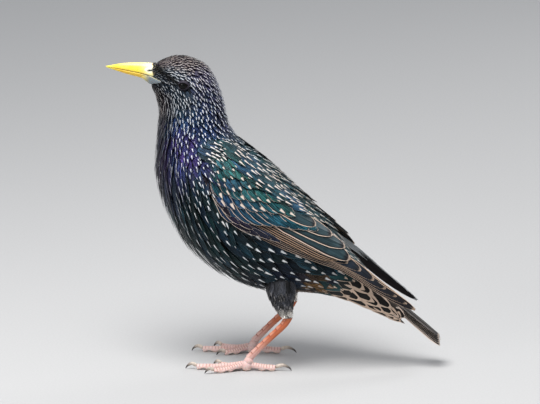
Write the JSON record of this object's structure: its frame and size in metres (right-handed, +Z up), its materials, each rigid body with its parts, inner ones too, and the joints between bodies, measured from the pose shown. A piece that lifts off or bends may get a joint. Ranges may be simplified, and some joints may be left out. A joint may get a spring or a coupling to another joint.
{
  "type": "starling",
  "caption": "Life-size still model of a glossy, spotted songbird standing on both feet, with a pointed yellow bill, folded wings and a short tail.",
  "frame": {"origin": "on the ground, below the middle of the bird's outline box", "axes": "-X towards the bill tip, +X towards the tail tip, +Z up from the ground, -Y towards the bird's left side"},
  "size_m": [0.1732, 0.0572, 0.162],
  "materials": {
    "head_plumage": "glossy blackish feathers with a purple and blue sheen and fine pale tips",
    "body_plumage": "glossy green-black feathers with cream tips",
    "wing_plumage": "glossy teal feathers with thin buff edges",
    "flight_plumage": "dark brown-grey feathers with buff edges",
    "eye": "wet, very dark brown",
    "bill_horn": "smooth yellow horn, blue-grey at the base of the lower half",
    "leg_scales": "scaled pinkish-brown skin",
    "claw_horn": "dark horn, pale at the root"
  },
  "bodies": {
    "root": {"head": "head_plumage", "neck": "head_plumage", "torso": "body_plumage", "thigh_left": "body_plumage", "thigh_right": "body_plumage", "wing_left_primaries": "flight_plumage", "wing_left_secondaries": "flight_plumage", "wing_left_coverts": "wing_plumage", "wing_right_primaries": "flight_plumage", "wing_right_secondaries": "flight_plumage", "wing_right_coverts": "wing_plumage", "tail": "flight_plumage", "eye_left": "eye", "eye_right": "eye", "bill_upper": "bill_horn", "bill_lower": "bill_horn", "tarsus_left": "leg_scales", "tarsus_right": "leg_scales", "foot_left": "leg_scales", "foot_right": "leg_scales", "claw_left_middle": "claw_horn", "claw_left_inner": "claw_horn", "claw_left_outer": "claw_horn", "claw_left_hind": "claw_horn", "claw_right_middle": "claw_horn", "claw_right_inner": "claw_horn", "claw_right_outer": "claw_horn", "claw_right_hind": "claw_horn"}
  },
  "joints": []
}
